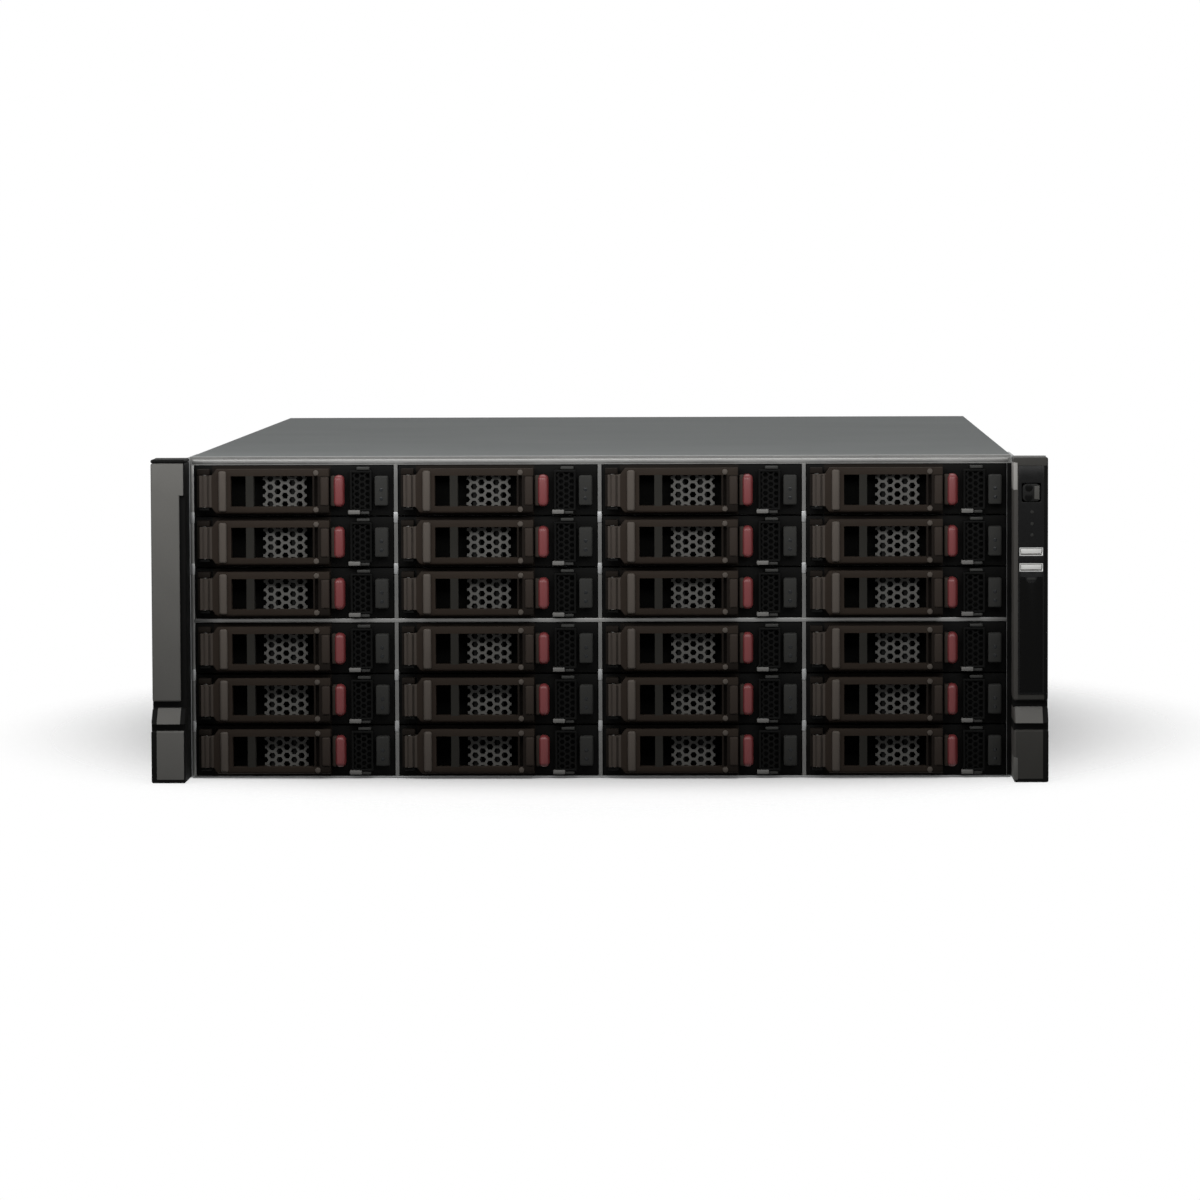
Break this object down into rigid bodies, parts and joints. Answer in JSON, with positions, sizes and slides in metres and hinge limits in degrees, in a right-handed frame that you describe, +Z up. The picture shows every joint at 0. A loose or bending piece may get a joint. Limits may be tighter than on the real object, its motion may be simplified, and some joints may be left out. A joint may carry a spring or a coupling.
{
  "type": "video surveillance server",
  "caption": "Four-unit rack server for recording video, with hot-swap drive carriers across its front, rack ears, fans and two slide-in power supplies.",
  "frame": {"origin": "middle of the whole part's footprint, on the surface that the chassis stands on", "axes": "+Z up, the drive bays face -Y, +X to the right as seen from the front"},
  "size_m": [0.4826, 0.721, 0.175],
  "materials": {
    "zinc_steel": "zinc-coated sheet steel, satin",
    "grey_steel": "grey powder coat, fine texture",
    "circuit_board": "green solder mask",
    "dark_ear": "dark grey moulded plastic, satin",
    "black_ear": "black moulded plastic, gloss panel",
    "button_grey": "grey moulded plastic",
    "fan_black": "black moulded plastic",
    "supply_case": "bare metal case",
    "carrier_black": "black moulded bezel on a steel tray",
    "lever_umber": "warm grey moulded plastic, satin"
  },
  "bodies": {
    "chassis": {"chassis_base": "zinc_steel", "drive_cage": "zinc_steel", "circuit_boards": "circuit_board", "left_ear": "dark_ear", "right_ear": "black_ear", "fan_frames": "fan_black"},
    "cover": {"top_cover": "grey_steel"},
    "power_button": {"power_button": "button_grey"},
    "fan_rotor_1": {"fan_rotor_1": "fan_black"},
    "fan_rotor_2": {"fan_rotor_2": "fan_black"},
    "power_supply_1": {"power_supply_1": "supply_case"},
    "power_supply_2": {"power_supply_2": "supply_case"},
    "carrier_r1c1": {"drive_carrier_r1c1": "carrier_black"},
    "lever_r1c1": {"eject_lever_r1c1": "lever_umber"},
    "carrier_r1c2": {"drive_carrier_r1c2": "carrier_black"},
    "lever_r1c2": {"eject_lever_r1c2": "lever_umber"},
    "carrier_r1c3": {"drive_carrier_r1c3": "carrier_black"},
    "lever_r1c3": {"eject_lever_r1c3": "lever_umber"},
    "carrier_r1c4": {"drive_carrier_r1c4": "carrier_black"},
    "lever_r1c4": {"eject_lever_r1c4": "lever_umber"},
    "carrier_r2c1": {"drive_carrier_r2c1": "carrier_black"},
    "lever_r2c1": {"eject_lever_r2c1": "lever_umber"},
    "carrier_r2c2": {"drive_carrier_r2c2": "carrier_black"},
    "lever_r2c2": {"eject_lever_r2c2": "lever_umber"},
    "carrier_r2c3": {"drive_carrier_r2c3": "carrier_black"},
    "lever_r2c3": {"eject_lever_r2c3": "lever_umber"},
    "carrier_r2c4": {"drive_carrier_r2c4": "carrier_black"},
    "lever_r2c4": {"eject_lever_r2c4": "lever_umber"},
    "carrier_r3c1": {"drive_carrier_r3c1": "carrier_black"},
    "lever_r3c1": {"eject_lever_r3c1": "lever_umber"},
    "carrier_r3c2": {"drive_carrier_r3c2": "carrier_black"},
    "lever_r3c2": {"eject_lever_r3c2": "lever_umber"},
    "carrier_r3c3": {"drive_carrier_r3c3": "carrier_black"},
    "lever_r3c3": {"eject_lever_r3c3": "lever_umber"},
    "carrier_r3c4": {"drive_carrier_r3c4": "carrier_black"},
    "lever_r3c4": {"eject_lever_r3c4": "lever_umber"},
    "carrier_r4c1": {"drive_carrier_r4c1": "carrier_black"},
    "lever_r4c1": {"eject_lever_r4c1": "lever_umber"},
    "carrier_r4c2": {"drive_carrier_r4c2": "carrier_black"},
    "lever_r4c2": {"eject_lever_r4c2": "lever_umber"},
    "carrier_r4c3": {"drive_carrier_r4c3": "carrier_black"},
    "lever_r4c3": {"eject_lever_r4c3": "lever_umber"},
    "carrier_r4c4": {"drive_carrier_r4c4": "carrier_black"},
    "lever_r4c4": {"eject_lever_r4c4": "lever_umber"},
    "carrier_r5c1": {"drive_carrier_r5c1": "carrier_black"},
    "lever_r5c1": {"eject_lever_r5c1": "lever_umber"},
    "carrier_r5c2": {"drive_carrier_r5c2": "carrier_black"},
    "lever_r5c2": {"eject_lever_r5c2": "lever_umber"},
    "carrier_r5c3": {"drive_carrier_r5c3": "carrier_black"},
    "lever_r5c3": {"eject_lever_r5c3": "lever_umber"},
    "carrier_r5c4": {"drive_carrier_r5c4": "carrier_black"},
    "lever_r5c4": {"eject_lever_r5c4": "lever_umber"},
    "carrier_r6c1": {"drive_carrier_r6c1": "carrier_black"},
    "lever_r6c1": {"eject_lever_r6c1": "lever_umber"},
    "carrier_r6c2": {"drive_carrier_r6c2": "carrier_black"},
    "lever_r6c2": {"eject_lever_r6c2": "lever_umber"},
    "carrier_r6c3": {"drive_carrier_r6c3": "carrier_black"},
    "lever_r6c3": {"eject_lever_r6c3": "lever_umber"},
    "carrier_r6c4": {"drive_carrier_r6c4": "carrier_black"},
    "lever_r6c4": {"eject_lever_r6c4": "lever_umber"}
  },
  "joints": [
    {"name": "cover_lift", "type": "slide", "parent": "chassis", "child": "cover", "axis": [0, 0, 1], "range_m": [0, 0.12]},
    {"name": "power_press", "type": "slide", "parent": "chassis", "child": "power_button", "axis": [0, 1, 0], "range_m": [0, 0.0015], "stiffness_N_per_m": 600},
    {"name": "fan_spin_1", "type": "hinge", "parent": "chassis", "child": "fan_rotor_1", "pos_m": [0.0981, 0.3059, 0.1258], "axis": [0, 1, 0], "continuous": true},
    {"name": "fan_spin_2", "type": "hinge", "parent": "chassis", "child": "fan_rotor_2", "pos_m": [0.0151, 0.3059, 0.1258], "axis": [0, 1, 0], "continuous": true},
    {"name": "supply_slide_1", "type": "slide", "parent": "chassis", "child": "power_supply_1", "axis": [0, 1, 0], "range_m": [0, 0.19]},
    {"name": "supply_slide_2", "type": "slide", "parent": "chassis", "child": "power_supply_2", "axis": [0, 1, 0], "range_m": [0, 0.19]},
    {"name": "carrier_slide_r1c1", "type": "slide", "parent": "chassis", "child": "carrier_r1c1", "axis": [0, -1, 0], "range_m": [0, 0.17]},
    {"name": "lever_turn_r1c1", "type": "hinge", "parent": "carrier_r1c1", "child": "lever_r1c1", "pos_m": [-0.2141, -0.3325, 0.15665], "axis": [0, 0, -1], "range_deg": [0, 70]},
    {"name": "carrier_slide_r1c2", "type": "slide", "parent": "chassis", "child": "carrier_r1c2", "axis": [0, -1, 0], "range_m": [0, 0.17]},
    {"name": "lever_turn_r1c2", "type": "hinge", "parent": "carrier_r1c2", "child": "lever_r1c2", "pos_m": [-0.1035, -0.3325, 0.15665], "axis": [0, 0, -1], "range_deg": [0, 70]},
    {"name": "carrier_slide_r1c3", "type": "slide", "parent": "chassis", "child": "carrier_r1c3", "axis": [0, -1, 0], "range_m": [0, 0.17]},
    {"name": "lever_turn_r1c3", "type": "hinge", "parent": "carrier_r1c3", "child": "lever_r1c3", "pos_m": [0.0071, -0.3325, 0.15665], "axis": [0, 0, -1], "range_deg": [0, 70]},
    {"name": "carrier_slide_r1c4", "type": "slide", "parent": "chassis", "child": "carrier_r1c4", "axis": [0, -1, 0], "range_m": [0, 0.17]},
    {"name": "lever_turn_r1c4", "type": "hinge", "parent": "carrier_r1c4", "child": "lever_r1c4", "pos_m": [0.1177, -0.3325, 0.15665], "axis": [0, 0, -1], "range_deg": [0, 70]},
    {"name": "carrier_slide_r2c1", "type": "slide", "parent": "chassis", "child": "carrier_r2c1", "axis": [0, -1, 0], "range_m": [0, 0.17]},
    {"name": "lever_turn_r2c1", "type": "hinge", "parent": "carrier_r2c1", "child": "lever_r2c1", "pos_m": [-0.2141, -0.3325, 0.12875], "axis": [0, 0, -1], "range_deg": [0, 70]},
    {"name": "carrier_slide_r2c2", "type": "slide", "parent": "chassis", "child": "carrier_r2c2", "axis": [0, -1, 0], "range_m": [0, 0.17]},
    {"name": "lever_turn_r2c2", "type": "hinge", "parent": "carrier_r2c2", "child": "lever_r2c2", "pos_m": [-0.1035, -0.3325, 0.12875], "axis": [0, 0, -1], "range_deg": [0, 70]},
    {"name": "carrier_slide_r2c3", "type": "slide", "parent": "chassis", "child": "carrier_r2c3", "axis": [0, -1, 0], "range_m": [0, 0.17]},
    {"name": "lever_turn_r2c3", "type": "hinge", "parent": "carrier_r2c3", "child": "lever_r2c3", "pos_m": [0.0071, -0.3325, 0.12875], "axis": [0, 0, -1], "range_deg": [0, 70]},
    {"name": "carrier_slide_r2c4", "type": "slide", "parent": "chassis", "child": "carrier_r2c4", "axis": [0, -1, 0], "range_m": [0, 0.17]},
    {"name": "lever_turn_r2c4", "type": "hinge", "parent": "carrier_r2c4", "child": "lever_r2c4", "pos_m": [0.1177, -0.3325, 0.12875], "axis": [0, 0, -1], "range_deg": [0, 70]},
    {"name": "carrier_slide_r3c1", "type": "slide", "parent": "chassis", "child": "carrier_r3c1", "axis": [0, -1, 0], "range_m": [0, 0.17]},
    {"name": "lever_turn_r3c1", "type": "hinge", "parent": "carrier_r3c1", "child": "lever_r3c1", "pos_m": [-0.2141, -0.3325, 0.10085], "axis": [0, 0, -1], "range_deg": [0, 70]},
    {"name": "carrier_slide_r3c2", "type": "slide", "parent": "chassis", "child": "carrier_r3c2", "axis": [0, -1, 0], "range_m": [0, 0.17]},
    {"name": "lever_turn_r3c2", "type": "hinge", "parent": "carrier_r3c2", "child": "lever_r3c2", "pos_m": [-0.1035, -0.3325, 0.10085], "axis": [0, 0, -1], "range_deg": [0, 70]},
    {"name": "carrier_slide_r3c3", "type": "slide", "parent": "chassis", "child": "carrier_r3c3", "axis": [0, -1, 0], "range_m": [0, 0.17]},
    {"name": "lever_turn_r3c3", "type": "hinge", "parent": "carrier_r3c3", "child": "lever_r3c3", "pos_m": [0.0071, -0.3325, 0.10085], "axis": [0, 0, -1], "range_deg": [0, 70]},
    {"name": "carrier_slide_r3c4", "type": "slide", "parent": "chassis", "child": "carrier_r3c4", "axis": [0, -1, 0], "range_m": [0, 0.17]},
    {"name": "lever_turn_r3c4", "type": "hinge", "parent": "carrier_r3c4", "child": "lever_r3c4", "pos_m": [0.1177, -0.3325, 0.10085], "axis": [0, 0, -1], "range_deg": [0, 70]},
    {"name": "carrier_slide_r4c1", "type": "slide", "parent": "chassis", "child": "carrier_r4c1", "axis": [0, -1, 0], "range_m": [0, 0.17]},
    {"name": "lever_turn_r4c1", "type": "hinge", "parent": "carrier_r4c1", "child": "lever_r4c1", "pos_m": [-0.2141, -0.3325, 0.07095], "axis": [0, 0, -1], "range_deg": [0, 70]},
    {"name": "carrier_slide_r4c2", "type": "slide", "parent": "chassis", "child": "carrier_r4c2", "axis": [0, -1, 0], "range_m": [0, 0.17]},
    {"name": "lever_turn_r4c2", "type": "hinge", "parent": "carrier_r4c2", "child": "lever_r4c2", "pos_m": [-0.1035, -0.3325, 0.07095], "axis": [0, 0, -1], "range_deg": [0, 70]},
    {"name": "carrier_slide_r4c3", "type": "slide", "parent": "chassis", "child": "carrier_r4c3", "axis": [0, -1, 0], "range_m": [0, 0.17]},
    {"name": "lever_turn_r4c3", "type": "hinge", "parent": "carrier_r4c3", "child": "lever_r4c3", "pos_m": [0.0071, -0.3325, 0.07095], "axis": [0, 0, -1], "range_deg": [0, 70]},
    {"name": "carrier_slide_r4c4", "type": "slide", "parent": "chassis", "child": "carrier_r4c4", "axis": [0, -1, 0], "range_m": [0, 0.17]},
    {"name": "lever_turn_r4c4", "type": "hinge", "parent": "carrier_r4c4", "child": "lever_r4c4", "pos_m": [0.1177, -0.3325, 0.07095], "axis": [0, 0, -1], "range_deg": [0, 70]},
    {"name": "carrier_slide_r5c1", "type": "slide", "parent": "chassis", "child": "carrier_r5c1", "axis": [0, -1, 0], "range_m": [0, 0.17]},
    {"name": "lever_turn_r5c1", "type": "hinge", "parent": "carrier_r5c1", "child": "lever_r5c1", "pos_m": [-0.2141, -0.3325, 0.04305], "axis": [0, 0, -1], "range_deg": [0, 70]},
    {"name": "carrier_slide_r5c2", "type": "slide", "parent": "chassis", "child": "carrier_r5c2", "axis": [0, -1, 0], "range_m": [0, 0.17]},
    {"name": "lever_turn_r5c2", "type": "hinge", "parent": "carrier_r5c2", "child": "lever_r5c2", "pos_m": [-0.1035, -0.3325, 0.04305], "axis": [0, 0, -1], "range_deg": [0, 70]},
    {"name": "carrier_slide_r5c3", "type": "slide", "parent": "chassis", "child": "carrier_r5c3", "axis": [0, -1, 0], "range_m": [0, 0.17]},
    {"name": "lever_turn_r5c3", "type": "hinge", "parent": "carrier_r5c3", "child": "lever_r5c3", "pos_m": [0.0071, -0.3325, 0.04305], "axis": [0, 0, -1], "range_deg": [0, 70]},
    {"name": "carrier_slide_r5c4", "type": "slide", "parent": "chassis", "child": "carrier_r5c4", "axis": [0, -1, 0], "range_m": [0, 0.17]},
    {"name": "lever_turn_r5c4", "type": "hinge", "parent": "carrier_r5c4", "child": "lever_r5c4", "pos_m": [0.1177, -0.3325, 0.04305], "axis": [0, 0, -1], "range_deg": [0, 70]},
    {"name": "carrier_slide_r6c1", "type": "slide", "parent": "chassis", "child": "carrier_r6c1", "axis": [0, -1, 0], "range_m": [0, 0.17]},
    {"name": "lever_turn_r6c1", "type": "hinge", "parent": "carrier_r6c1", "child": "lever_r6c1", "pos_m": [-0.2141, -0.3325, 0.01515], "axis": [0, 0, -1], "range_deg": [0, 70]},
    {"name": "carrier_slide_r6c2", "type": "slide", "parent": "chassis", "child": "carrier_r6c2", "axis": [0, -1, 0], "range_m": [0, 0.17]},
    {"name": "lever_turn_r6c2", "type": "hinge", "parent": "carrier_r6c2", "child": "lever_r6c2", "pos_m": [-0.1035, -0.3325, 0.01515], "axis": [0, 0, -1], "range_deg": [0, 70]},
    {"name": "carrier_slide_r6c3", "type": "slide", "parent": "chassis", "child": "carrier_r6c3", "axis": [0, -1, 0], "range_m": [0, 0.17]},
    {"name": "lever_turn_r6c3", "type": "hinge", "parent": "carrier_r6c3", "child": "lever_r6c3", "pos_m": [0.0071, -0.3325, 0.01515], "axis": [0, 0, -1], "range_deg": [0, 70]},
    {"name": "carrier_slide_r6c4", "type": "slide", "parent": "chassis", "child": "carrier_r6c4", "axis": [0, -1, 0], "range_m": [0, 0.17]},
    {"name": "lever_turn_r6c4", "type": "hinge", "parent": "carrier_r6c4", "child": "lever_r6c4", "pos_m": [0.1177, -0.3325, 0.01515], "axis": [0, 0, -1], "range_deg": [0, 70]}
  ]
}
